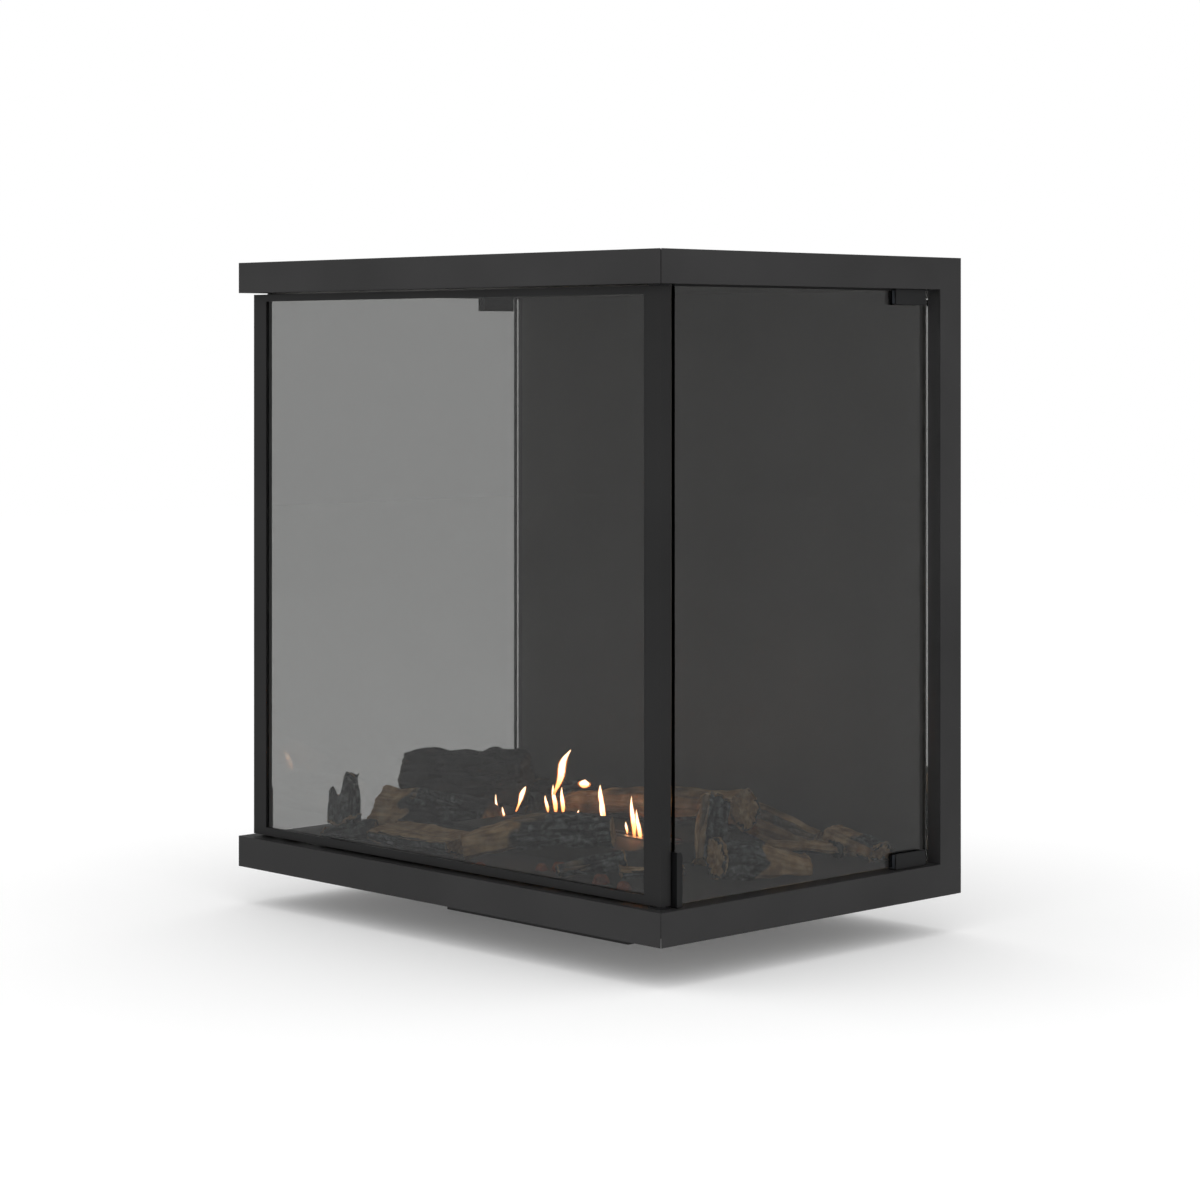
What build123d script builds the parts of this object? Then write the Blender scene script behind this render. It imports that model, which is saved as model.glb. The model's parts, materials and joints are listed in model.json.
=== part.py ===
from build123d import *
import os
from math import cos, pi, sin

# Three-sided fireplace: a black steel cabinet with a hinged glass door in front,
# a frameless pane at each side, a solid back, a burner box and a bed of ceramic logs.
# Millimetres. +Z is up, the door faces -Y, and the origin is the centre of the
# underside of the burner box.

# Driving dimensions: the cabinet
frame_width = 795.0
frame_depth = 533.0
frame_height = 800.0
band_height = 40.0
tube_depth = 20.0
tube_wall = 2.0
seam = 0.5
plate = 3.0
sheet = 2.0
cover_flange = 25.0
cover_rail = 20.0
board_gap = 1.0
# The burner
housing_length = 340.0
housing_width = 195.0
housing_drop = 49.0
crossmember_width = 25.0
opening_length = 300.0
opening_width = 156.0
tank_length = 304.0
tank_width = 120.0
tank_height = 66.0
deck_length = 330.0
deck_width = 184.0
deck_rise = 25.0
slot_length = 290.0
slot_width = 14.0
throat_wall = 1.5
throat_dip = 8.0
throat_flange = 8.0
# The side panes and their clips
inset = 14.5
glass = 5.0
glass_lift = 4.0
glass_top_gap = 2.5
glass_front_gap = 22.5
glass_rear_gap = 7.0
pad_outer = 4.0
pad_inner = 0.6
pad_recess = 1.5
clip_leg = 2.5
clip_web = 1.5
clip_foot = 1.0
clip_length = 56.0
clip_height = 19.0
clip_setback = 12.0
upright_height = 63.5
upright_reach = 6.0
upright_pad = 0.5
upright_round = 5.0
# The door
door_lift = 3.5
door_top_gap = 2.3
door_depth = 16.5
door_wall = 1.5
door_round = 1.0
post_width = 28.0
stile_width = 26.0
top_rail_height = 9.2
bottom_rail_height = 10.5
lip = 5.0
lip_thickness = 2.0
tape = 0.5
pane_play = 0.8
bead_width = 4.0
bead_depth = 4.5
# The hinge and the catch
pivot_from_side = 6.0
pivot_from_face = 7.0
pin_radius = 3.0
pin_reach = 14.0
play = 0.05
hinge_plate = 2.0
hinge_length = 22.0
hinge_width = 15.0
washer_radius = 6.0
washer = 1.2
block_height = 20.0
catch_length = 26.0
catch_depth = 9.0
catch_height = 7.0
catch_setback = 40.0
catch_air = 0.3
strike = 1.0
strike_height = 5.0
# Countersunk screws
screw_radius = 2.0
screw_head = 3.8
screw_length = 9.0
# The logs
log_facets = 9
seat = 0.3

# Levels and places that the sizes above give
z_base = housing_drop
z_floor = z_base + band_height
z_top = z_base + frame_height
z_ceiling = z_top - band_height
z_mid = (z_base + z_top) / 2
z_deck = z_floor + deck_rise
x_side = frame_width / 2
x_inner = x_side - tube_depth
x_glass = x_side - inset
y_front = -frame_depth / 2
y_back = frame_depth / 2
y_inner = y_front + tube_depth
y_rear_inner = y_back - tube_depth
y_post = y_back - band_height
y_door = y_front + inset
y_door_back = y_door + door_depth
y_glass_front = y_door + glass_front_gap
y_glass_back = y_post - glass_rear_gap
z_glass = z_floor + glass_lift
z_glass_top = z_ceiling - glass_top_gap
plate_depth = y_rear_inner - y_inner
plate_y = (y_rear_inner + y_inner) / 2
room_height = z_ceiling - z_floor
mid_height = Plane.XY.offset(z_mid)
bed_x = x_glass - glass
bed_y = y_post

# Where each screw stands: (x, y) on the floor or ceiling, right side only for the clips
clip_outer = x_glass + pad_outer + clip_leg
clip_inner = x_glass - glass - pad_inner - clip_leg
clip_x = (clip_outer + clip_inner) / 2
clip_back = y_glass_back - clip_setback
clip_front = clip_back - clip_length
upright_front = y_glass_front - upright_pad - clip_leg
upright_back = y_glass_front + upright_reach
clip_middle = (clip_front + clip_back) / 2
upright_screw_y = (upright_front + clip_leg + upright_back) / 2
pivot_x = x_glass - pivot_from_side
pivot_y = y_door + pivot_from_face
hinge_x = x_glass - seam - hinge_length / 2
hinge_y = y_door + seam + hinge_width / 2
hinge_screw = (x_glass - hinge_length + screw_head + seam, y_inner + screw_head)

os.makedirs("parts", exist_ok=True)


def save(name, body):
    body.label = name
    export_step(body, f"parts/{name}.step")


def mirrored(name, body):
    """The left-hand piece that matches a right-hand one."""
    with BuildPart() as left_piece:
        mirror(body, about=Plane.YZ)
    save(name, left_piece.part)


def block(x1, x2, y1, y2, z1, z2, mode=Mode.ADD):
    """A box between six planes, added to the piece being made."""
    centre = ((x1 + x2) / 2, (y1 + y2) / 2, (z1 + z2) / 2)
    with Locations(centre):
        Box(x2 - x1, y2 - y1, z2 - z1, mode=mode)


def screw(head_plane):
    """A countersunk screw whose head lies flush in the plane and points along its normal."""
    upward = (Align.CENTER, Align.CENTER, Align.MIN)
    with Locations(head_plane):
        Cylinder(screw_radius, screw_length, align=upward)
        Cone(screw_head, screw_radius, screw_head - screw_radius, align=upward)


def screw_hole(head_plane):
    """The countersunk hole of such a screw, a little larger all round."""
    upward = (Align.CENTER, Align.CENTER, Align.MIN)
    with Locations(head_plane):
        Cylinder(screw_radius + play, screw_length + play, align=upward, mode=Mode.SUBTRACT)
        Cone(
            screw_head + play,
            screw_radius + play,
            screw_head - screw_radius,
            align=upward,
            mode=Mode.SUBTRACT,
        )


def down_at(x, y, z):
    return Plane(origin=(x, y, z), x_dir=(1, 0, 0), z_dir=(0, 0, -1))


def up_at(x, y, z):
    return Plane(origin=(x, y, z), x_dir=(1, 0, 0), z_dir=(0, 0, 1))


# Screws through the floor side: one in each rear clip, one in each upright, one in the pivot
z_clip_web = z_floor + clip_foot + clip_web
clip_screw_right = down_at(clip_x, clip_middle, z_clip_web)
upright_screw_right = down_at(clip_x, upright_screw_y, z_clip_web)
hinge_screw_low = down_at(*hinge_screw, z_floor + hinge_plate)

# Cabinet frame: 40 x 20 tube, mitred. On each side a bottom tube, a rear post and a top
# tube make a C whose welds are ground flush. The front bands meet them in an open mitre.
with BuildPart() as side_bottom_tube_right:
    with BuildSketch(Plane.YZ.offset(x_inner)):
        Polygon(
            (y_front, z_base),
            (y_back, z_base),
            (y_post, z_floor),
            (y_front, z_floor),
            align=None,
        )
    extrude(amount=tube_depth)
    with BuildSketch(Plane.XY.offset(z_base)):
        Polygon(
            (x_side + seam, y_front - seam),
            (x_inner, y_front - seam),
            (x_inner, y_inner + seam),
            (x_side + seam, y_front),
            align=None,
        )
    extrude(amount=band_height, mode=Mode.SUBTRACT)
    with BuildSketch(Plane.XZ.offset(-y_back)):
        with Locations((x_side - tube_depth / 2, z_base + band_height / 2)):
            Rectangle(tube_depth - 2 * tube_wall, band_height - 2 * tube_wall)
    extrude(amount=frame_depth, mode=Mode.SUBTRACT)
    screw_hole(clip_screw_right)
    screw_hole(upright_screw_right)
save("side_bottom_tube_right", side_bottom_tube_right.part)
mirrored("side_bottom_tube_left", side_bottom_tube_right.part)

with BuildPart() as side_top_tube_right:
    with BuildSketch(Plane.YZ.offset(x_inner)):
        Polygon(
            (y_front, z_top),
            (y_back, z_top),
            (y_post, z_ceiling),
            (y_front, z_ceiling),
            align=None,
        )
    extrude(amount=tube_depth)
    with BuildSketch(Plane.XY.offset(z_ceiling)):
        Polygon(
            (x_side + seam, y_front - seam),
            (x_inner, y_front - seam),
            (x_inner, y_inner + seam),
            (x_side + seam, y_front),
            align=None,
        )
    extrude(amount=band_height, mode=Mode.SUBTRACT)
    with BuildSketch(Plane.XZ.offset(-y_back)):
        with Locations((x_side - tube_depth / 2, z_top - band_height / 2)):
            Rectangle(tube_depth - 2 * tube_wall, band_height - 2 * tube_wall)
    extrude(amount=frame_depth, mode=Mode.SUBTRACT)
    screw_hole(up_at(clip_x, clip_middle, 2 * z_mid - z_clip_web))
save("side_top_tube_right", side_top_tube_right.part)
mirrored("side_top_tube_left", side_top_tube_right.part)

with BuildPart() as rear_post_right:
    with BuildSketch(Plane.YZ.offset(x_inner)):
        Polygon(
            (y_back, z_base),
            (y_back, z_top),
            (y_post, z_ceiling),
            (y_post, z_floor),
            align=None,
        )
    extrude(amount=tube_depth)
    with BuildSketch(Plane.XY.offset(z_base)):
        with Locations((x_side - tube_depth / 2, y_back - band_height / 2)):
            Rectangle(tube_depth - 2 * tube_wall, band_height - 2 * tube_wall)
    extrude(amount=frame_height, mode=Mode.SUBTRACT)
save("rear_post_right", rear_post_right.part)
mirrored("rear_post_left", rear_post_right.part)

for z_band, name in ((z_base, "front_bottom_band"), (z_ceiling, "front_top_band")):
    with BuildPart() as front_band:
        with BuildSketch(Plane.XY.offset(z_band)):
            Polygon(
                (-x_side + seam, y_front),
                (x_side - seam, y_front),
                (x_inner - seam, y_inner),
                (-x_inner + seam, y_inner),
                align=None,
            )
        extrude(amount=band_height)
        with BuildSketch(Plane.YZ.offset(-x_side)):
            with Locations((y_front + tube_depth / 2, z_band + band_height / 2)):
                Rectangle(tube_depth - 2 * tube_wall, band_height - 2 * tube_wall)
        extrude(amount=frame_width, mode=Mode.SUBTRACT)
    save(name, front_band.part)

for z_tube, name in ((z_base, "rear_bottom_tube"), (z_ceiling, "rear_top_tube")):
    with BuildPart() as rear_tube:
        with BuildSketch(Plane.YZ.offset(-x_inner)):
            with Locations((y_back - tube_depth / 2, z_tube + band_height / 2)):
                Rectangle(tube_depth, band_height)
                Rectangle(
                    tube_depth - 2 * tube_wall,
                    band_height - 2 * tube_wall,
                    mode=Mode.SUBTRACT,
                )
        extrude(amount=2 * x_inner)
    save(name, rear_tube.part)

# Floor of the fire room, flush with the tubes, with an opening under the burner deck
with BuildPart() as base_plate:
    with BuildSketch(Plane.XY.offset(z_floor - plate)):
        with Locations((0, plate_y)):
            Rectangle(2 * x_inner, plate_depth)
        Rectangle(opening_length, opening_width, mode=Mode.SUBTRACT)
    extrude(amount=plate)
    screw_hole(hinge_screw_low)
save("base_plate", base_plate.part)

with BuildPart() as ceiling_plate:
    with BuildSketch(Plane.XY.offset(z_ceiling)):
        with Locations((0, plate_y)):
            Rectangle(2 * x_inner, plate_depth)
    extrude(amount=plate)
    with Locations((*hinge_screw, z_ceiling)):
        Hole(screw_radius + play)
save("ceiling_plate", ceiling_plate.part)

# Lid of the top box: a pan turned down inside the ring of tubes
with BuildPart() as top_cover:
    with BuildSketch(Plane.XY.offset(z_top - cover_flange)):
        with Locations((0, plate_y)):
            Rectangle(2 * x_inner, plate_depth)
    extrude(amount=cover_flange)
    offset(amount=-sheet, openings=top_cover.faces().sort_by(Axis.Z)[0])
save("top_cover", top_cover.part)

# Double back: liner, mineral board, two rails and the screwed rear cover
with BuildPart() as back_liner:
    block(-x_inner, x_inner, y_post, y_post + sheet, z_floor, z_ceiling)
save("back_liner", back_liner.part)

y_cover = y_back - sheet
with BuildPart() as insulation_board:
    board_x = x_inner - cover_rail - board_gap
    block(-board_x, board_x, y_post + sheet, y_rear_inner, z_floor, z_ceiling - board_gap)
save("insulation_board", insulation_board.part)

rail_screw_x = x_inner - cover_rail / 2
rail_screw_zs = (z_floor + 2 * cover_rail, z_ceiling - 2 * cover_rail)
cover_screws = [
    Plane(origin=(side * rail_screw_x, y_back, z), x_dir=(1, 0, 0), z_dir=(0, -1, 0))
    for side in (-1, 1)
    for z in rail_screw_zs
]

with BuildPart() as rear_cover_rails:
    for side in (-1, 1):
        with BuildSketch(Plane.XY.offset(z_floor)):
            with BuildLine():
                Polyline(
                    (side * x_inner, y_rear_inner),
                    (side * x_inner, y_cover),
                    (side * (x_inner - cover_rail), y_cover),
                    (side * (x_inner - cover_rail), y_cover - sheet),
                    (side * (x_inner - sheet), y_cover - sheet),
                    (side * (x_inner - sheet), y_rear_inner),
                    close=True,
                )
            make_face()
        extrude(amount=room_height)
    for head_plane in cover_screws:
        screw_hole(head_plane)
save("rear_cover_rails", rear_cover_rails.part)

with BuildPart() as rear_cover:
    block(-x_inner, x_inner, y_cover, y_back, z_floor, z_ceiling)
    for head_plane in cover_screws:
        screw_hole(head_plane)
save("rear_cover", rear_cover.part)

# Burner: an open box hung between two crossmembers, with a tank, a throat and a deck
z_plate = z_floor - plate
housing_x = housing_length / 2
housing_y = housing_width / 2
with BuildPart() as burner_housing:
    block(-housing_x, housing_x, -housing_y, housing_y, 0, z_plate)
    offset(amount=-sheet, openings=burner_housing.faces().sort_by(Axis.Z)[-1])
save("burner_housing", burner_housing.part)

with BuildPart() as crossmembers:
    for side in (-1, 1):
        with BuildSketch(Plane.XZ.offset(-y_rear_inner)):
            with Locations((side * (housing_x + crossmember_width / 2), (z_base + z_plate) / 2)):
                Rectangle(crossmember_width, z_plate - z_base)
                Rectangle(
                    crossmember_width - 2 * tube_wall,
                    z_plate - z_base - 2 * tube_wall,
                    mode=Mode.SUBTRACT,
                )
        extrude(amount=plate_depth)
save("crossmembers", crossmembers.part)

tank_x = tank_length / 2
tank_y = tank_width / 2
tank_top = sheet + tank_height
slot_x = slot_length / 2
slot_y = slot_width / 2
with BuildPart() as burner_tank:
    block(-tank_x, tank_x, -tank_y, tank_y, sheet, tank_top)
    block(
        -tank_x + throat_wall,
        tank_x - throat_wall,
        -tank_y + throat_wall,
        tank_y - throat_wall,
        sheet + throat_wall,
        tank_top - throat_wall,
        mode=Mode.SUBTRACT,
    )
    block(-slot_x, slot_x, -slot_y, slot_y, tank_top - throat_wall, tank_top, mode=Mode.SUBTRACT)
save("burner_tank", burner_tank.part)

with BuildPart() as burner_deck:
    with BuildSketch(Plane.XY.offset(z_floor)):
        Rectangle(deck_length, deck_width)
    extrude(amount=deck_rise)
    fillet(burner_deck.edges().filter_by(Axis.Z), radius=2 * sheet)
    offset(amount=-sheet, openings=burner_deck.faces().sort_by(Axis.Z)[0])
    block(-slot_x, slot_x, -slot_y, slot_y, z_floor, z_deck, mode=Mode.SUBTRACT)
save("burner_deck", burner_deck.part)

with BuildPart() as burner_throat:
    with BuildSketch(Plane.XY.offset(tank_top - throat_dip)):
        Rectangle(slot_length - 2 * play, slot_width - 2 * play)
    extrude(amount=z_deck - tank_top + throat_dip)
    with BuildSketch(Plane.XY.offset(z_deck)):
        RectangleRounded(
            slot_length + 2 * throat_flange,
            slot_width + 2 * throat_flange,
            throat_flange,
        )
    extrude(amount=throat_wall)
    with BuildSketch(Plane.XY.offset(tank_top - throat_dip)):
        Rectangle(
            slot_length - 2 * play - 2 * throat_wall,
            slot_width - 2 * play - 2 * throat_wall,
        )
    extrude(amount=z_deck, mode=Mode.SUBTRACT)
save("burner_throat", burner_throat.part)

# Side panes, the seal strips over them and the clips that hold them
with BuildPart() as side_glass_right:
    block(x_glass - glass, x_glass, y_glass_front, y_glass_back, z_glass, z_glass_top)
save("side_glass_right", side_glass_right.part)
mirrored("side_glass_left", side_glass_right.part)

with BuildPart() as glass_top_seals:
    for side in (-1, 1):
        for y1, y2 in ((y_glass_front, clip_front), (clip_back, y_glass_back)):
            x1, x2 = sorted((side * (x_glass - glass), side * x_glass))
            block(x1, x2, y1, y2, z_glass_top, z_ceiling)
save("glass_top_seals", glass_top_seals.part)

z_clip = z_floor + clip_foot
slot_outer = x_glass + pad_outer
slot_inner = x_glass - glass - pad_inner
with BuildPart() as clip_right:
    block(clip_inner, clip_outer, clip_front, clip_back, z_clip, z_clip + clip_height)
    fillet(clip_right.edges().filter_by(Axis.Y).group_by(Axis.Z)[-1], radius=clip_foot)
    block(
        slot_inner,
        slot_outer,
        clip_front,
        clip_back,
        z_clip + clip_web,
        z_clip + clip_height,
        mode=Mode.SUBTRACT,
    )
    block(
        slot_inner,
        slot_outer,
        clip_front + clip_foot,
        clip_back - clip_foot,
        z_floor,
        z_clip,
    )
    screw_hole(clip_screw_right)

with BuildPart() as rear_clips_bottom:
    add(clip_right.part)
    mirror(clip_right.part, about=Plane.YZ)
save("rear_clips_bottom", rear_clips_bottom.part)

with BuildPart() as rear_clips_top:
    mirror(rear_clips_bottom.part, about=mid_height)
save("rear_clips_top", rear_clips_top.part)

with BuildPart() as upright_right:
    block(clip_inner, clip_outer, upright_front, upright_back, z_clip, z_clip + upright_height)
    crown = upright_right.edges().filter_by(Axis.X).group_by(Axis.Z)[-1].sort_by(Axis.Y)[-1]
    fillet(crown, radius=upright_round)
    block(
        slot_inner,
        slot_outer,
        upright_front + clip_leg,
        upright_back,
        z_clip + clip_web,
        z_clip + upright_height,
        mode=Mode.SUBTRACT,
    )
    block(slot_inner, slot_outer, upright_front + clip_leg, upright_back, z_floor, z_clip)
    screw_hole(upright_screw_right)

with BuildPart() as upright_clips:
    add(upright_right.part)
    mirror(upright_right.part, about=Plane.YZ)
save("upright_clips", upright_clips.part)

# Pads between the clips and the glass, and the setting blocks that carry it
pad_height = clip_height - clip_web - pad_recess
with BuildPart() as pads_right:
    for z1 in (z_clip + clip_web, 2 * z_mid - z_clip - clip_web - pad_height):
        block(x_glass, slot_outer, clip_front, clip_back, z1, z1 + pad_height)
        block(slot_inner, x_glass - glass, clip_front, clip_back, z1, z1 + pad_height)
    z_low = z_clip + clip_web
    z_high = z_clip + upright_height - upright_round
    block(x_glass, slot_outer, y_glass_front, upright_back, z_low, z_high)
    block(slot_inner, x_glass - glass, y_glass_front, upright_back, z_low, z_high)
    block(x_glass - glass, x_glass, clip_front, clip_back, z_low, z_glass)
    block(x_glass - glass, x_glass, y_glass_front, upright_back, z_low, z_glass)

with BuildPart() as clip_pads:
    add(pads_right.part)
    mirror(pads_right.part, about=Plane.YZ)
save("clip_pads", clip_pads.part)

# Door: a corner post, a stile and two thin rails round one pane. Each has a front lip
# over the edge of the pane, with tape under the lip and a bead behind the glass.
x_left = -x_glass
x_right = x_glass
x_pane_left = x_left + stile_width - lip
x_pane_right = x_right - post_width + lip
z_door = z_floor + door_lift
z_door_top = z_ceiling - door_top_gap
z_pane = z_door + bottom_rail_height - lip
z_pane_top = z_door_top - top_rail_height + lip
y_lip = y_door + lip_thickness
y_pane = y_lip + tape
y_pane_back = y_pane + glass
block_end = z_door + block_height


def upright_member(x_outer, x_body, x_lip):
    """A hollow door upright with its glazing lip; the three places run inwards."""
    x1, x2 = sorted((x_outer, x_body))
    block(x1, x2, y_door, y_door_back, z_door, z_door_top)
    corner = Axis.X if x_outer > 0 else Axis((0, 0, 0), (-1, 0, 0))
    outer_back = edges().filter_by(Axis.Z).group_by(corner)[-1].sort_by(Axis.Y)[-1]
    fillet(outer_back, radius=door_round)
    wall = door_wall if x_outer > 0 else -door_wall
    x3, x4 = sorted((x_outer - wall, x_body + wall))
    block(
        x3,
        x4,
        y_door + door_wall,
        y_door_back - door_wall,
        z_door,
        z_door_top,
        mode=Mode.SUBTRACT,
    )
    x5, x6 = sorted((x_body, x_lip))
    block(x5, x6, y_door, y_lip, z_door, z_door_top)


with BuildPart() as door_post_right:
    upright_member(x_right, x_pane_right, x_right - post_width)
save("door_post_right", door_post_right.part)

with BuildPart() as door_stile_left:
    upright_member(x_left, x_pane_left, x_left + stile_width)
save("door_stile_left", door_stile_left.part)

for z_outer, z_body, z_lip, name in (
    (z_door, z_pane, z_door + bottom_rail_height, "door_rail_bottom"),
    (z_door_top, z_pane_top, z_door_top - top_rail_height, "door_rail_top"),
):
    with BuildPart() as door_rail:
        z1, z2 = sorted((z_outer, z_body))
        block(x_pane_left, x_pane_right, y_lip, y_door_back, z1, z2)
        z3, z4 = sorted((z_outer, z_lip))
        block(x_left + stile_width, x_right - post_width, y_door, y_lip, z3, z4)
    save(name, door_rail.part)

with BuildPart() as door_glass:
    block(
        x_pane_left + pane_play,
        x_pane_right - pane_play,
        y_pane,
        y_pane_back,
        z_pane + pane_play,
        z_pane_top - pane_play,
    )
save("door_glass", door_glass.part)

pane_width = x_pane_right - x_pane_left
pane_height = z_pane_top - z_pane
pane_centre = ((x_pane_left + x_pane_right) / 2, (z_pane_top + z_pane) / 2)
for y_ring, depth, width, name in (
    (y_lip, tape, lip, "glazing_tape"),
    (y_pane_back, bead_depth, bead_width, "glazing_beads"),
):
    with BuildPart() as ring:
        with BuildSketch(Plane.XZ.offset(-y_ring)):
            with Locations(pane_centre):
                Rectangle(pane_width, pane_height)
                Rectangle(pane_width - 2 * width, pane_height - 2 * width, mode=Mode.SUBTRACT)
        extrude(amount=-depth)
    save(name, ring.part)

# End blocks of the uprights: bored for the pivot pins on the right, plain on the left
with BuildPart() as door_end_blocks:
    for z1 in (z_door, z_door_top - block_height):
        y1 = y_door + door_wall
        y2 = y_door_back - door_wall
        z2 = z1 + block_height
        block(x_pane_right + door_wall, x_right - door_wall, y1, y2, z1, z2)
        block(x_left + door_wall, x_pane_left - door_wall, y1, y2, z1, z2)
        with Locations((pivot_x, pivot_y, (z1 + z2) / 2)):
            Hole(pin_radius + play, depth=block_height)
save("door_end_blocks", door_end_blocks.part)

# Pivots: a small plate with its pin, below and above the post, and a bearing washer
with BuildPart() as pivot_bracket_bottom:
    with BuildSketch(Plane.XY.offset(z_floor)):
        with Locations((hinge_x, hinge_y)):
            Rectangle(hinge_length, hinge_width)
    extrude(amount=hinge_plate)
    screw_hole(hinge_screw_low)
    with BuildSketch(Plane.XY.offset(z_floor + hinge_plate)):
        with Locations((pivot_x, pivot_y)):
            Circle(pin_radius)
    extrude(amount=pin_reach)
    pin_end = pivot_bracket_bottom.edges().filter_by(GeomType.CIRCLE).sort_by(Axis.Z)[-1]
    chamfer(pin_end, length=pin_radius / 4)
save("pivot_bracket_bottom", pivot_bracket_bottom.part)

with BuildPart() as pivot_bracket_top:
    mirror(pivot_bracket_bottom.part, about=mid_height)
save("pivot_bracket_top", pivot_bracket_top.part)

with BuildPart() as pivot_washer:
    with BuildSketch(Plane.XY.offset(z_floor + hinge_plate)):
        with Locations((pivot_x, pivot_y)):
            Circle(washer_radius)
            Circle(pin_radius + play, mode=Mode.SUBTRACT)
    extrude(amount=washer)
save("pivot_washer", pivot_washer.part)

# Catch: a strike on the back of the bottom rail, a magnet block on the floor behind it
x_catch = x_left + catch_setback
with BuildPart() as catch_strike:
    block(
        x_catch,
        x_catch + catch_length,
        y_door_back,
        y_door_back + strike,
        z_door,
        z_door + strike_height,
    )
save("catch_strike", catch_strike.part)

y_magnet = y_door_back + strike + catch_air
with BuildPart() as catch_magnet:
    block(
        x_catch,
        x_catch + catch_length,
        y_magnet,
        y_magnet + catch_depth,
        z_floor,
        z_floor + catch_height,
    )
    fillet(catch_magnet.edges().filter_by(Axis.Z).group_by(Axis.Y)[-1], radius=sheet)
save("catch_magnet", catch_magnet.part)

# Countersunk screws of the clips, the pivots and the rear cover
with BuildPart() as clip_set_screws:
    screw(clip_screw_right)
    screw(upright_screw_right)

with BuildPart() as countersunk_screws:
    add(clip_set_screws.part)
    mirror(clip_set_screws.part, about=Plane.YZ)
    for side in (-1, 1):
        screw(up_at(side * clip_x, clip_middle, 2 * z_mid - z_clip_web))
    screw(hinge_screw_low)
    screw(up_at(*hinge_screw, z_ceiling - hinge_plate))
    for head_plane in cover_screws:
        screw(head_plane)
save("countersunk_screws", countersunk_screws.part)


# Ceramic logs. Each is a ruled loft through uneven nine-sided sections along a bowed
# axis, with flat cuts where it was split, and it seats in what it lies on.
def firelog(start, end, girth, wobble, tall=1.0, bow=(0, 0, 0), cuts=(), grow=0.0):
    """One log, added to the piece being made, from start to end of its axis. Their first two
    places are shares of the room's half width and half depth, the third is above the floor."""
    foot = Vector(start[0] * bed_x, start[1] * bed_y, start[2] + z_floor)
    head = Vector(end[0] * bed_x, end[1] * bed_y, end[2] + z_floor)
    along = (head - foot).normalized()
    foot = foot - along * grow
    head = head + along * grow
    sections = []
    for number, radius in enumerate(girth):
        t = number / (len(girth) - 1)
        centre = foot + (head - foot) * t + Vector(*bow) * (4 * t * (1 - t))
        across = Vector(0, 0, 1).cross(along).normalized()
        points = []
        for facet in range(log_facets):
            angle = 2 * pi * facet / log_facets + wobble / 4
            uneven = 1 + 0.07 * sin(2 * angle + wobble) + 0.05 * sin(5 * angle + 2 * wobble)
            reach = radius * uneven + grow
            points.append((reach * cos(angle), reach * sin(angle) * tall))
        with BuildSketch(Plane(origin=centre, x_dir=across, z_dir=along)) as section:
            Polygon(*points, align=None)
        sections.append(section.sketch)
    loft(sections=sections, ruled=True)
    middle = (foot + head) * 0.5 + Vector(*bow)
    for normal, distance in cuts:
        outward = Vector(*normal).normalized()
        at = middle + outward * (distance + grow)
        split(bisect_by=Plane(origin=at, z_dir=outward), keep=Keep.BOTTOM)


def clear_floor():
    """Cuts the log flat where it lies on the floor and on the burner deck."""
    block(-x_side, x_side, y_front, y_back, 0, z_floor, mode=Mode.SUBTRACT)
    x_deck = deck_length / 2 + seat
    y_deck = deck_width / 2 + seat
    block(-x_deck, x_deck, -y_deck, y_deck, z_floor, z_deck, mode=Mode.SUBTRACT)


def seat_in(shape):
    """The hollow that a log leaves in what rests on it, with the clearance of a seat."""
    with BuildPart() as hollow:
        firelog(**shape, grow=seat)
    return hollow.part


left_low = dict(
    start=(-0.767, -0.918, 4),
    end=(-0.566, -0.773, 18),
    girth=(17, 19, 18),
    wobble=0.4,
)
front_left = dict(
    start=(-0.524, -0.812, 30),
    end=(-0.106, -0.799, 31),
    girth=(31, 34, 32, 31),
    wobble=1.1,
    cuts=(((0, -0.16, 1), 0),),
)
left_split = dict(
    start=(-0.926, -0.274, 26),
    end=(-0.439, -0.128, 20),
    girth=(29, 27, 30, 26),
    wobble=2.0,
    cuts=(((0.1, -0.75, 0.66), 9),),
)
back_centre = dict(
    start=(-0.569, 0.464, 31),
    end=(-0.040, 0.539, 34),
    girth=(35, 37, 36, 35),
    wobble=0.8,
)
back_long = dict(
    start=(-0.304, 0.318, 40),
    end=(0.471, 0.468, 58),
    girth=(20, 24, 29, 27, 33),
    wobble=1.7,
    bow=(0, 0, 4),
)
back_right = dict(
    start=(0.280, 0.671, 48),
    end=(0.566, 0.865, 6),
    girth=(23, 25, 22),
    wobble=2.9,
)
leaning_right = dict(
    start=(0.571, -0.035, 0),
    end=(0.455, 0.234, 76),
    girth=(22, 25, 24),
    wobble=0.2,
)
corner_right = dict(
    start=(0.635, 0.870, 20),
    end=(0.913, 0.777, 10),
    girth=(23, 25, 22),
    wobble=1.4,
)

for name, shape in (
    ("log_left_low", left_low),
    ("log_front_left", front_left),
    ("log_left_split", left_split),
    ("log_back_centre", back_centre),
    ("log_corner_right", corner_right),
):
    with BuildPart() as bedded_log:
        firelog(**shape)
        clear_floor()
    save(name, bedded_log.part)

back_centre_seat = seat_in(back_centre)
back_long_seat = seat_in(back_long)
for name, shape, hollow in (
    ("log_back_long", back_long, back_centre_seat),
    ("log_back_right", back_right, back_long_seat),
    ("log_leaning_right", leaning_right, back_long_seat),
):
    with BuildPart() as stacked_log:
        firelog(**shape)
        clear_floor()
        add(hollow, mode=Mode.SUBTRACT)
    save(name, stacked_log.part)

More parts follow.
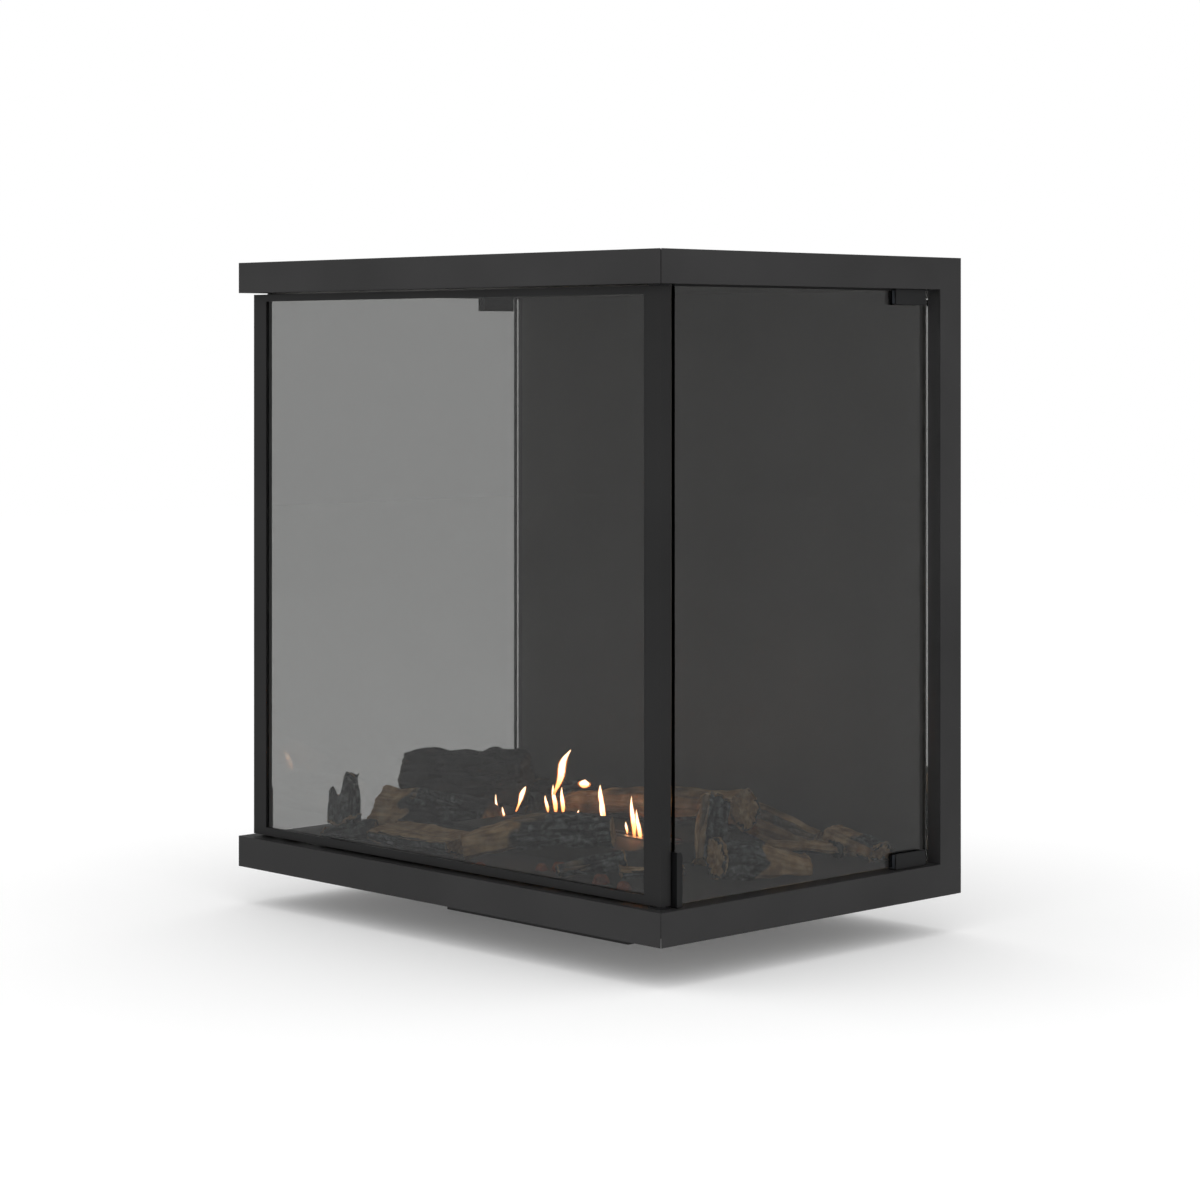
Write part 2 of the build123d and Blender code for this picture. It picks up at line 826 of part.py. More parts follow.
left_low_seat = seat_in(left_low)
with BuildPart() as stump_left:
    firelog(
        start=(-0.706, -0.839, 18),
        end=(-0.704, -0.839, 96),
        girth=(20, 19, 17),
        wobble=2.4,
        tall=1.6,
        cuts=(((-0.62, -0.1, 0.78), 30), ((0.5, -0.5, 0.7), 34)),
    )
    clear_floor()
    add(left_low_seat, mode=Mode.SUBTRACT)
save("stump_left", stump_left.part)

front_left_seat = seat_in(front_left)
with BuildPart() as log_front_centre:
    firelog(
        start=(-0.069, -0.857, 20),
        end=(0.331, -0.336, 43),
        girth=(20, 23, 25, 22),
        wobble=0.9,
        bow=(0, 0, 12),
    )
    clear_floor()
    add(front_left_seat, mode=Mode.SUBTRACT)
save("log_front_centre", log_front_centre.part)

with BuildPart() as log_front_right:
    firelog(start=(0.360, -0.826, 4), end=(0.503, -0.499, 20), girth=(17, 20, 19), wobble=2.2)
    clear_floor()
save("log_front_right", log_front_right.part)

left_split_seat = seat_in(left_split)
with BuildPart() as log_back_left_round:
    firelog(
        start=(-0.889, -0.079, 62),
        end=(-0.540, 0.309, 64),
        girth=(30, 32, 33, 31),
        wobble=1.3,
    )
    clear_floor()
    add(left_split_seat, mode=Mode.SUBTRACT)
    add(back_centre_seat, mode=Mode.SUBTRACT)
save("log_back_left_round", log_back_left_round.part)

with BuildPart() as log_right:
    firelog(
        start=(0.796, -0.375, 32),
        end=(0.899, 0.194, 12),
        girth=(30, 31, 26, 20),
        wobble=0.6,
    )
    clear_floor()
save("log_right", log_right.part)

corner_right_seat = seat_in(corner_right)
with BuildPart() as branch_right:
    firelog(start=(0.503, 0.552, 13), end=(0.794, 0.759, 13), girth=(13, 14, 12), wobble=1.9)
    clear_floor()
    add(corner_right_seat, mode=Mode.SUBTRACT)
save("branch_right", branch_right.part)

with BuildPart() as branch_front_right:
    firelog(start=(0.550, -0.662, 11), end=(0.672, -0.362, 12), girth=(12, 13, 12), wobble=0.1)
    clear_floor()
save("branch_front_right", branch_front_right.part)

with BuildPart() as ember_chips:
    for x, y, radius, sides in (
        (0.265, -0.640, 9, 6),
        (0.222, -0.711, 7, 5),
        (0.310, -0.706, 6, 5),
        (0.537, -0.764, 9, 6),
        (0.079, -0.945, 7, 5),
        (-0.164, -0.980, 6, 6),
        (0.675, -0.821, 8, 5),
        (0.767, -0.698, 6, 5),
        (-0.317, -0.565, 8, 6),
        (-0.249, -0.494, 6, 5),
        (-0.542, -0.521, 7, 6),
    ):
        with BuildSketch(Plane.XY.offset(z_floor)):
            with Locations((x * bed_x, y * bed_y)):
                RegularPolygon(radius, side_count=sides, rotation=radius * sides)
        extrude(amount=radius, taper=18)
save("ember_chips", ember_chips.part)
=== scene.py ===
# %% [markdown]
# The imported model comes first. It is the fixed frame: every steel tube, pane and log is
# already there at its real size, so this script only dresses it.
# %% Load the frame
import json
import math

import bmesh
import bpy
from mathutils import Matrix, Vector, noise


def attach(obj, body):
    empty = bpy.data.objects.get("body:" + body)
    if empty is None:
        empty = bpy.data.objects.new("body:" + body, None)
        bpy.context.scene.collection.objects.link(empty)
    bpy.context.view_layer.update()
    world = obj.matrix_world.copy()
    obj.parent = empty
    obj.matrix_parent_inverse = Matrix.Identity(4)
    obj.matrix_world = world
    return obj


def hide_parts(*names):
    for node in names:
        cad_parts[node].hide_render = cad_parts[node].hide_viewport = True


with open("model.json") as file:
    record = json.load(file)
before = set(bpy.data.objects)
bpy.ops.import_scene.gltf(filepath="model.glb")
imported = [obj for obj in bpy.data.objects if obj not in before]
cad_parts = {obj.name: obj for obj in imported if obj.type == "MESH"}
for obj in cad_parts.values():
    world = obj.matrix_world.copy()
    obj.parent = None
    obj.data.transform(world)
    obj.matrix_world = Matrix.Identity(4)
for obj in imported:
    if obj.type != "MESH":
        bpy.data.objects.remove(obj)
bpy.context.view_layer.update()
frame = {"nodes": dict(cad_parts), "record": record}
nodes = frame["nodes"]
print("nodes in the frame:", len(nodes))

# %% [markdown]
# The camera stands at the photograph's viewpoint: to the right, a little below the top of
# the cabinet, and level. A level camera keeps all upright edges upright. Its view is then
# moved down by shifting the lens, as is usual for buildings and furniture.
# %% Camera
CAMERA_PLACE = (2.9081, -2.7619, 0.7269)
CAMERA_TURN = math.radians(46.30)
LEVEL = math.radians(90)
SENSOR_MM = 36
LENS_MM = 93.0
LENS_SHIFT = -0.2042
FARTHEST_SEEN = 50

camera_data = bpy.data.cameras.new("camera")
camera = bpy.data.objects.new("camera", camera_data)
bpy.context.scene.collection.objects.link(camera)
camera.location = CAMERA_PLACE
camera.rotation_euler = (LEVEL, 0, CAMERA_TURN)
camera_data.sensor_width = SENSOR_MM
camera_data.lens = LENS_MM
camera_data.shift_y = LENS_SHIFT
camera_data.clip_end = FARTHEST_SEEN
bpy.context.scene.camera = camera
print("camera at", CAMERA_PLACE)

# %% [markdown]
# The studio is a white floor under a white sky of the same brightness, so no horizon shows.
# Glass and black steel show mostly what they mirror. The floor and the sky are therefore
# dimmer for mirrored rays alone: this sets how milky the panes look and leaves the
# background white.
# %% Studio floor
FLOOR_HALF = 9.0
FLOOR_WHITE = 0.88
FLOOR_LIFT = 0.12
SKY_STRENGTH = 1.0
MIRRORED_STRENGTH = 0.30


def deselect():
    """Leaves nothing selected, so that the next operator works on its own piece."""
    for thing in bpy.context.selected_objects:
        thing.select_set(False)


def mirrored_switch(tree, seen, mirrored):
    """A number that is seen for every ray but a mirrored one, which gets mirrored."""
    ray = tree.nodes.new("ShaderNodeLightPath")
    only_mirrored = tree.nodes.new("ShaderNodeMath")
    only_mirrored.operation = "SUBTRACT"
    tree.links.new(ray.outputs["Is Reflection Ray"], only_mirrored.inputs[0])
    tree.links.new(ray.outputs["Is Diffuse Ray"], only_mirrored.inputs[1])
    switch = tree.nodes.new("ShaderNodeMapRange")
    switch.inputs["To Min"].default_value = seen
    switch.inputs["To Max"].default_value = mirrored
    tree.links.new(only_mirrored.outputs[0], switch.inputs["Value"])
    return switch.outputs["Result"]


deselect()
bpy.ops.mesh.primitive_plane_add(size=2 * FLOOR_HALF, location=(0, 0, 0))
floor = bpy.context.active_object
floor.name = "studio_floor"
floor_paint = bpy.data.materials.new("studio_floor")
floor_paint.use_nodes = True
floor_tree = floor_paint.node_tree
floor_shader = floor_tree.nodes["Principled BSDF"]
floor_white = mirrored_switch(floor_tree, FLOOR_WHITE, 0.0)
floor_lift = mirrored_switch(floor_tree, FLOOR_LIFT, MIRRORED_STRENGTH)
floor_tree.links.new(floor_white, floor_shader.inputs["Base Color"])
floor_tree.links.new(floor_lift, floor_shader.inputs["Emission Strength"])
floor_shader.inputs["Emission Color"].default_value = (1, 1, 1, 1)
floor_shader.inputs["Roughness"].default_value = 0.9
floor_shader.inputs["Specular IOR Level"].default_value = 0.0
floor.data.materials.append(floor_paint)
print("floor", floor.name)

# %% [markdown]
# Three large round lamps stand round the cabinet and look at its middle: one to the front
# left, one to the right and one overhead. They are wide, so that each face of the steel
# gets an even tone of its own and no shadow has a hard edge.
# %% Sky and lamps
LAMPS = (
    ("key_lamp", (-3.2, -3.6, 3.4), 3.0, 16),
    ("right_lamp", (4.2, 0.6, 2.6), 2.6, 12),
    ("top_lamp", (0.3, -0.4, 4.2), 3.0, 14),
)
LAMP_AIM = Vector((0, 0, 0.45))

world = bpy.data.worlds.new("studio")
bpy.context.scene.world = world
world.use_nodes = True
world_tree = world.node_tree
sky = world_tree.nodes["Background"]
sky.inputs["Color"].default_value = (1, 1, 1, 1)
sky_strength = mirrored_switch(world_tree, SKY_STRENGTH, MIRRORED_STRENGTH)
world_tree.links.new(sky_strength, sky.inputs["Strength"])
for name, place, width, power in LAMPS:
    lamp_data = bpy.data.lights.new(name, "AREA")
    lamp_data.shape = "DISK"
    lamp_data.size = width
    lamp_data.energy = power
    lamp = bpy.data.objects.new(name, lamp_data)
    bpy.context.scene.collection.objects.link(lamp)
    lamp.location = place
    lamp.rotation_euler = (LAMP_AIM - Vector(place)).to_track_quat("-Z", "Y").to_euler()
bpy.context.scene.view_settings.view_transform = "Standard"
print("lamps", len(LAMPS))

# %% [markdown]
# Every finish below is built from the same few parts: a plain shader, a noise on the
# piece's own coordinates, a ramp that turns a value into colour, a range that turns it into
# a number, and a bump. Each part is a short function, so that a finish reads as a recipe.
# %% Helpers for finishes
def finish(name, colour, roughness, metallic=0.0):
    """A new material, with its node tree and its main shader."""
    material = bpy.data.materials.new(name)
    material.use_nodes = True
    tree = material.node_tree
    shader = tree.nodes["Principled BSDF"]
    shader.inputs["Base Color"].default_value = (*colour, 1)
    shader.inputs["Roughness"].default_value = roughness
    shader.inputs["Metallic"].default_value = metallic
    return material, tree, shader


def add_noise(tree, scale, detail, fineness=(1, 1, 1)):
    """A noise texture on the piece's own coordinates. A fineness over 1 packs it closer along
    that axis, and one under 1 draws it out."""
    place = tree.nodes.new("ShaderNodeTexCoord")
    mapping = tree.nodes.new("ShaderNodeMapping")
    mapping.inputs["Scale"].default_value = fineness
    pattern = tree.nodes.new("ShaderNodeTexNoise")
    pattern.inputs["Scale"].default_value = scale
    pattern.inputs["Detail"].default_value = detail
    tree.links.new(place.outputs["Object"], mapping.inputs["Vector"])
    tree.links.new(mapping.outputs["Vector"], pattern.inputs["Vector"])
    return pattern.outputs["Fac"]


def ramp(tree, value, stops):
    """A colour ramp: stops are (position, colour)."""
    node = tree.nodes.new("ShaderNodeValToRGB")
    band = node.color_ramp
    first, *middle, last = stops
    for element, (position, colour) in zip(band.elements, (first, last)):
        element.position = position
        element.color = (*colour, 1)
    for position, colour in middle:
        band.elements.new(position).color = (*colour, 1)
    tree.links.new(value, node.inputs["Fac"])
    return node.outputs["Color"]


def bump(tree, shader, height, strength, distance):
    """Lifts the surface by a height value, for the shader's normal."""
    node = tree.nodes.new("ShaderNodeBump")
    node.inputs["Strength"].default_value = strength
    node.inputs["Distance"].default_value = distance
    tree.links.new(height, node.inputs["Height"])
    tree.links.new(node.outputs["Normal"], shader.inputs["Normal"])


def vary(tree, socket, value, low, high):
    """Moves a number of the shader between two values."""
    node = tree.nodes.new("ShaderNodeMapRange")
    node.inputs["To Min"].default_value = low
    node.inputs["To Max"].default_value = high
    tree.links.new(value, node.inputs["Value"])
    tree.links.new(node.outputs["Result"], socket)


def read_attribute(tree, label):
    """A number that is kept at each point of the mesh."""
    node = tree.nodes.new("ShaderNodeAttribute")
    node.attribute_name = label
    return node.outputs["Fac"]


def mix(tree, amount, first, second, blend="MIX"):
    """Mixes two colours; each is a socket or a plain colour."""
    node = tree.nodes.new("ShaderNodeMix")
    node.data_type = "RGBA"
    node.blend_type = blend
    if isinstance(amount, float):
        node.inputs["Factor"].default_value = amount
    else:
        tree.links.new(amount, node.inputs["Factor"])
    for letter, colour in (("A", first), ("B", second)):
        socket = [s for s in node.inputs if s.name == letter and s.type == "RGBA"][0]
        if isinstance(colour, tuple):
            socket.default_value = (*colour, 1)
        else:
            tree.links.new(colour, socket)
    return [s for s in node.outputs if s.type == "RGBA"][0]


print("finish helpers ready")

# %% [markdown]
# The cabinet is steel under a fine black powder coat. Up close such a coat has a grain of
# about half a millimetre, so a small noise lifts the surface and breaks up the gloss, and
# a slow noise keeps the large faces from looking like one flat colour. The inside coat is
# paler and has no grain, because it is mostly seen through the panes.
# %% Powder coats
GRAIN_SCALE = 1500
GRAIN_HEIGHT = 0.0003
CLOUD_SCALE = 5
CLOUD_DARK = 0.85
CLOUD_LIGHT = 1.2
SMOOTHER = 0.06
ROUGHER = 0.08


def powder_coat(name, colour, roughness, grain):
    """A satin powder coat with a faint cloudiness and, if asked, a fine grain."""
    material, tree, shader = finish(name, colour, roughness)
    clouds = add_noise(tree, CLOUD_SCALE, 3)
    darker = tuple(CLOUD_DARK * c for c in colour)
    lighter = tuple(CLOUD_LIGHT * c for c in colour)
    tint = ramp(tree, clouds, ((0.3, darker), (0.7, lighter)))
    tree.links.new(tint, shader.inputs["Base Color"])
    fine = add_noise(tree, GRAIN_SCALE, 2)
    vary(tree, shader.inputs["Roughness"], fine, roughness - SMOOTHER, roughness + ROUGHER)
    if grain > 0:
        bump(tree, shader, fine, grain, GRAIN_HEIGHT)
    return material


cabinet_coat = powder_coat("cabinet_coat", (0.0270, 0.0265, 0.0270), 0.45, grain=0.12)
door_coat = powder_coat("door_coat", (0.0125, 0.0125, 0.0128), 0.42, grain=0.1)
inner_coat = powder_coat("inner_coat", (0.085, 0.080, 0.074), 0.62, grain=0.0)
clip_coat = powder_coat("clip_coat", (0.008, 0.0083, 0.009), 0.35, grain=0.1)
print("coats", cabinet_coat.name, door_coat.name, inner_coat.name, clip_coat.name)

# %% [markdown]
# The panes are clear heat-proof glass with a grey tint. Each pane is a real slab, so light
# bends in it, its ends glow where it is trapped inside, and both of its faces mirror the
# room. The tint is the colour that is left after light has crossed both faces.
# %% Glass
PANE_TINT = (0.478, 0.480, 0.476)
GLASS_IOR = 1.5


def tinted_glass():
    """Smooth clear glass with the grey tint of the panes."""
    material, _, shader = finish("pane_glass", PANE_TINT, 0.0)
    shader.inputs["Transmission Weight"].default_value = 1.0
    shader.inputs["IOR"].default_value = GLASS_IOR
    return material


pane_glass = tinted_glass()
print("glass", pane_glass.name)

# %% [markdown]
# The rest are small parts: brushed steel, black seals, grey pads that hold the glass and
# the pale board of mineral fibre behind the liner. Each has one noise of its own, in its
# colour, its gloss or its relief.
# %% Small finishes
def brushed_steel():
    """Bare steel, brushed in level lines."""
    material, tree, shader = finish("bare_steel", (0.5, 0.5, 0.51), 0.3, 1.0)
    brushing = add_noise(tree, 60, 4, (1, 1, 40))
    vary(tree, shader.inputs["Roughness"], brushing, 0.24, 0.42)
    bump(tree, shader, brushing, 0.1, 0.0002)
    return material


def black_rubber():
    """The seals over the panes."""
    material, tree, shader = finish("seal_rubber", (0.012, 0.012, 0.012), 0.75)
    bump(tree, shader, add_noise(tree, 900, 2), 0.3, 0.0003)
    return material


def grey_rubber():
    """The pads between clips and glass, a cold dark grey."""
    material, tree, shader = finish("pad_rubber", (0.04, 0.045, 0.052), 0.7)
    clouds = add_noise(tree, 240, 3)
    tint = ramp(tree, clouds, ((0.3, (0.03, 0.035, 0.042)), (0.7, (0.05, 0.056, 0.066))))
    tree.links.new(tint, shader.inputs["Base Color"])
    return material


def pressed_fibre():
    """The mineral board, with its fibres drawn out upwards."""
    material, tree, shader = finish("fibre_board", (0.6, 0.58, 0.5), 0.95)
    fibres = add_noise(tree, 300, 6, (1, 1, 0.2))
    tint = ramp(tree, fibres, ((0.3, (0.5, 0.47, 0.4)), (0.7, (0.7, 0.67, 0.58))))
    tree.links.new(tint, shader.inputs["Base Color"])
    bump(tree, shader, fibres, 0.5, 0.001)
    return material


bare_steel = brushed_steel()
seal_rubber = black_rubber()
pad_rubber = grey_rubber()
fibre_board = pressed_fibre()
print("small finishes", bare_steel.name, seal_rubber.name, pad_rubber.name)

# %% [markdown]
# Each steel and glass node of the frame keeps its own mesh and takes the finish of its slot
# in the record. In the photograph no bare metal shines at the door post, so the washer there
# and the two pivot brackets wear the dark coat of the clips. The logs take their paint
# further down, once they have been carved.
# %% Dress the frame
FINISH_OF_SLOT = {
    "black_coat": cabinet_coat,
    "door_coat": door_coat,
    "inner_black": inner_coat,
    "clip_steel": clip_coat,
    "clear_glass": pane_glass,
    "plain_steel": bare_steel,
    "black_seal": seal_rubber,
    "magnet_black": seal_rubber,
    "grey_pad": pad_rubber,
    "brass_washer": clip_coat,
    "mineral_board": fibre_board,
}
DARK_PIVOTS = ("pivot_bracket_bottom", "pivot_bracket_top")

slot_of = {row["node"]: row["material_slot"] for row in frame["record"]["subparts"]}


def wear(piece, material):
    """Puts one material in every slot of a piece."""
    if not piece.material_slots:
        piece.data.materials.append(material)
    for material_slot in piece.material_slots:
        material_slot.material = material


dressed = 0
for name, piece in nodes.items():
    if slot_of[name] in FINISH_OF_SLOT:
        wear(piece, FINISH_OF_SLOT[slot_of[name]])
        dressed += 1
for name in DARK_PIVOTS:
    wear(nodes[name], clip_coat)
print("dressed nodes", dressed)

# %% [markdown]
# The paint of the logs mixes two woods and soot. Bark is a cold dark grey with paler
# specks, bare wood is tan, and soot covers both in patches. The cracks of the bark are
# painted darker, as painted shade in them, and bare wood has darker streaks along its
# grain. Where each of these lies is read from three numbers that the carving keeps at
# each point.
# %% Log paint
BARK_STOPS = ((0.34, (0.038, 0.042, 0.043)), (0.50, (0.110, 0.124, 0.127)), (0.72, (0.31, 0.335, 0.335)))
TAN_STOPS = ((0.32, (0.40, 0.240, 0.115)), (0.50, (0.66, 0.43, 0.215)), (0.68, (0.86, 0.62, 0.35)))
# Painted shade in the cracks of the bark, and streaks of grain on bare wood: white keeps the colour,
# grey darkens it.
CRACK_SHADE_AND_GRAIN_STOPS = ((0.15, (1, 1, 1)), (0.75, (0.22, 0.21, 0.20)))
SOOT_STOPS = ((0.42, (0, 0, 0)), (0.75, (0.88, 0.88, 0.88)))
SOOT_BLACK = (0.020, 0.019, 0.019)


def charred_wood():
    """Bark, bare wood, painted shade in the bark cracks, grain streaks and soot in one matt paint."""
    material, tree, shader = finish("log_paint", (0.2, 0.16, 0.12), 0.9)
    bark_colour = ramp(tree, add_noise(tree, 150, 9), BARK_STOPS)
    tan_colour = ramp(tree, add_noise(tree, 60, 9), TAN_STOPS)
    wood_colour = mix(tree, read_attribute(tree, "split"), bark_colour, tan_colour)
    # The third number darkens the paint: painted shade in the bark cracks, grain streaks on bare wood.
    crack_shade_and_grain_colour = ramp(tree, read_attribute(tree, "painted_crack_shade_and_grain"), CRACK_SHADE_AND_GRAIN_STOPS)
    shaded_and_grained = mix(tree, 1.0, wood_colour, crack_shade_and_grain_colour, "MULTIPLY")
    soot = ramp(tree, read_attribute(tree, "char"), SOOT_STOPS)
    sooty = mix(tree, soot, shaded_and_grained, SOOT_BLACK)
    tree.links.new(sooty, shader.inputs["Base Color"])
    bump(tree, shader, add_noise(tree, 420, 6), 0.35, 0.0006)
    return material


log_paint = charred_wood()
print("paint", log_paint.name)

# %% [markdown]
# The logs are cast ceramic, shaped to look like split and charred wood. The frame holds the
# plain form of each. A copy of it is remeshed into small even faces, because a carved
# surface needs many points, and the copy stays exactly where the plain log was.
# %% Even faces for carving
VOXEL = 0.0019
FINE_VOXEL = 0.0016
CHIP_VOXEL = 0.0009
SAME_POINT = 0.00001


def even_copy(name, voxel):
    """A copy of a node's mesh with merged points and small even faces."""
    copy = bpy.data.objects.new("carved_" + name, nodes[name].data.copy())
    bpy.context.scene.collection.objects.link(copy)
    merged = bmesh.new()
    merged.from_mesh(copy.data)
    bmesh.ops.remove_doubles(merged, verts=merged.verts, dist=SAME_POINT)
    merged.to_mesh(copy.data)
    merged.free()
    deselect()
    copy.select_set(True)
    bpy.context.view_layer.objects.active = copy
    remesh = copy.modifiers.new("even faces", "REMESH")
    remesh.mode = "VOXEL"
    remesh.voxel_size = voxel
    bpy.ops.object.modifier_apply(modifier=remesh.name)
    return copy


print("log faces of", VOXEL, "m")

# %% [markdown]
# Four patterns make the surface, all longer along the grain than across it: deep cracks and
# plates on bark, fine fibres and small steps on bare wood. Slow lumps lie under all of
# them. The sizes here are metres on the log.
# %% Patterns of bark and bare wood
LUMP_SIZE = 0.028
LUMP_DEPTH = 0.0065
CRACK_ALONG = 0.060
CRACK_ACROSS = 0.0085
CRACK_DEPTH = 0.0058
PLATE_ALONG = 0.028
PLATE_ACROSS = 0.010
PLATE_DEPTH = 0.0022
FIBRE_ALONG = 0.055
FIBRE_ACROSS = 0.0042
FIBRE_DEPTH = 0.0014
STEP_ALONG = 0.09
STEP_ACROSS = 0.014
STEP_DEPTH = 0.0018


def between(value, low, high):
    """0 below low, 1 above high and a straight rise from one to the other."""
    return min(max((value - low) / (high - low), 0), 1)


def stretched(grain_place, along, across, shift):
    """The place of a point in a pattern that is stretched along the grain."""
    s, a, b = grain_place
    return Vector((s / along, a / across, b / across)) + shift


def bark_relief(grain_place, shift):
    """How deep bark is cut at a point, and how much of a crack lies there."""
    valley = 1 - abs(noise.noise(stretched(grain_place, CRACK_ALONG, CRACK_ACROSS, shift))) * 2
    crack = max(valley, 0) ** 3
    plate = noise.noise(stretched(grain_place, PLATE_ALONG, PLATE_ACROSS, shift))
    return CRACK_DEPTH * crack + PLATE_DEPTH * (0.5 - 0.5 * plate), crack


def wood_relief(grain_place, shift):
    """How deep bare wood is cut at a point, and the fibre pattern there."""
    fibre = noise.noise(stretched(grain_place, FIBRE_ALONG, FIBRE_ACROSS, shift))
    splinter = noise.cell(stretched(grain_place, STEP_ALONG, STEP_ACROSS, shift))
    return FIBRE_DEPTH * (1 + fibre) + STEP_DEPTH * (0.5 + 0.5 * splinter), fibre


print("cracks", CRACK_DEPTH, "m deep, lumps", LUMP_DEPTH, "m deep")

# %% [markdown]
# A log is bare where it was split, at its ends, and over a stretch of its length where the
# bark is gone all round. Each border is ragged, by a noise. Carving then moves every point
# in or out along its normal and keeps three numbers there: how bare it is, how charred it
# is, and how much its paint is darkened, as painted shade in the cracks of the bark and as
# streaks of grain on bare wood.
# %% Carving
BORDER = 0.12
BORDER_SIZE = 0.05
RAG = 0.12
RAG_SIZE = 0.018
RAG_EDGE = 0.04
END_FROM = 0.75
END_FULL = 0.9
SOOT_SPREAD = 0.4
SOOT_SIZE = 0.04
BARE_SOOT = 0.8
WOOD_GROOVE = 0.3
FIBRE_GROOVE = 0.4
NEVER = 2.0
FROM_START = -1
TO_END = 3
NOWHERE = (2, TO_END)


def pattern_shift(name):
    """Moves the patterns of each log by its name, so that no two logs look alike."""
    seed = 7.3 * len(name) + 0.37 * sum(map(ord, name)) % 11
    return Vector((seed, -seed, seed / 2))


def stripped_share(reach, bare):
    """1 inside the bare stretch of the length, 0 outside it, with a short rise between."""
    first, last = bare
    return between(reach, first, first + RAG_EDGE) * between(-reach, -last, RAG_EDGE - last)


def keep_numbers(mesh, label, values):
    """Keeps one number at each point of the mesh, for the paint to read."""
    layer = mesh.attributes.new(label, "FLOAT", "POINT")
    layer.data.foreach_set("value", values)


def carve(name, axis, char, split=(), share=NEVER, bare=NOWHERE, depth=1.0, swell=0.0, voxel=VOXEL):
    """Carves one log. axis runs along the grain and char is how burnt the log is. split are
    the directions that its split faces look in, share how squarely a point must look there
    to count as split, and bare the stretch that has no bark. depth scales the carving and
    swell lets the log out."""
    piece = even_copy(name, voxel)
    mesh = piece.data
    axis = Vector(axis).normalized()
    side = axis.orthogonal().normalized()
    rise = axis.cross(side)
    faces = [Vector(direction).normalized() for direction in split]
    shift = pattern_shift(name)
    normals = [v.normal.copy() for v in mesh.vertices]
    along = [v.co.dot(axis) for v in mesh.vertices]
    start, length = min(along), max(along) - min(along)
    bare_values = []
    char_values = []
    crack_shade_and_grain_values = []
    for point, normal in zip(mesh.vertices, normals):
        here = point.co
        grain_place = (here.dot(axis), here.dot(side), here.dot(rise))
        looks = max((normal.dot(face) for face in faces), default=-1.0)
        looks += BORDER * noise.noise(here / BORDER_SIZE + shift)
        reach = (grain_place[0] - start) / length + RAG * noise.noise(here / RAG_SIZE + shift)
        stripped = stripped_share(reach, bare)
        ended = between(abs(normal.dot(axis)), END_FROM, END_FULL)
        clear = max(between(looks, share, share + BORDER), ended, stripped)
        bark_depth, crack = bark_relief(grain_place, shift)
        wood_depth, fibre = wood_relief(grain_place, shift)
        inward = bark_depth + (wood_depth - bark_depth) * clear
        inward += LUMP_DEPTH * (0.5 + 0.5 * noise.noise(here / LUMP_SIZE + shift))
        point.co = here + normal * (swell - depth * inward)
        burnt = char * (1 - BARE_SOOT * stripped)
        burnt += SOOT_SPREAD * noise.noise(point.co / SOOT_SIZE - shift)
        bare_values.append(clear)
        char_values.append(between(burnt, 0, 1))
        # On bark the paint is darkened along the cracks, as painted shade; on bare wood the fibres give
        # streaks of grain.
        crack_shade_and_grain_values.append(crack + (WOOD_GROOVE - FIBRE_GROOVE * fibre - crack) * clear)
    keep_numbers(mesh, "split", bare_values)
    keep_numbers(mesh, "char", char_values)
    keep_numbers(mesh, "painted_crack_shade_and_grain", crack_shade_and_grain_values)
    for polygon in mesh.polygons:
        polygon.use_smooth = True
    wear(piece, log_paint)
    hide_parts(name)
    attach(piece, "cabinet")
    print(name, "carved with", len(mesh.vertices), "points")
    return piece


# %% [markdown]
# Each log now gets its grain, its bare faces and its soot as the photograph shows them. Four
# of them are let out as they are carved, the round log at the back left the most, because
# they look thicker in the photograph than their plain forms are.
# %% Carve every log
UP = (0, 0, 1)
FRONT = (0, -1, 0)
FRONT_RISING = (0, -0.4, 0.9)

carve("log_left_low", (0.9, 0.35, 0.15), 0.62)
carve("log_front_left", (1, 0.02, 0), 0.1, split=(UP,), share=0.80, depth=0.6)
carve("log_left_split", (0.98, 0.18, 0), 0.66, bare=(FROM_START, 0.30), swell=0.009)
carve("log_back_centre", (1, 0.08, 0), 0.6)
carve("log_back_long", (0.99, 0.12, 0.05), 0.52, split=(FRONT, FRONT_RISING, UP), share=0.55)
carve("log_back_left_round", (0.83, 0.55, 0), 1.0, depth=2.3, swell=0.019)
carve("log_back_right", (0.92, 0.39, -0.3), 0.42, split=(FRONT, UP), share=0.6, swell=0.004)
carve("log_leaning_right", (-0.45, 0.6, 0.7), 0.3, split=((-0.3, -0.9, 0.2),), share=0.80)
stump = carve("stump_left", UP, 0.35, split=((-0.9, -0.3, 0.3),), share=0.85)
carve(
    "log_front_centre",
    (0.79, 0.6, 0.12),
    0.12,
    split=((-0.3, -0.3, 0.9),),
    share=0.90,
    bare=(FROM_START, 0.38),
    swell=0.004,
)
carve("log_front_right", (0.58, 0.8, 0.17), 0.25, split=((0.3, -0.9, 0.3),), share=0.88)
carve("log_right", (0.29, 0.95, -0.15), 0.3, bare=(0.42, TO_END))
carve("log_corner_right", (0.97, -0.2, -0.1), 0.25, split=(FRONT,), share=0.80, bare=(FROM_START, 0.5))
carve("branch_right", (0.92, 0.39, 0), 0.1, split=(UP, FRONT), share=0.5, voxel=FINE_VOXEL)
carve("branch_front_right", (0.56, 0.83, 0.02), 0.25, split=(UP,), share=0.6, voxel=FINE_VOXEL)
print("logs carved")

# %% [markdown]
# The stump is broken off, with a low peak on its left and a high one beside it. The height
# of each point over the foot is scaled by a jagged line across the width of the stump, as
# it is seen from the front right.
# %% Broken stump
BREAK_LINE = (
    (0.0, 1.0),
    (0.19, 0.92),
    (0.36, 0.56),
    (0.44, 0.64),
    (0.50, 0.90),
    (0.575, 1.0),
    (0.8, 0.9),
    (1.0, 1.0),
)
BREAK_ACROSS = Vector((0.69, 0.72, 0))


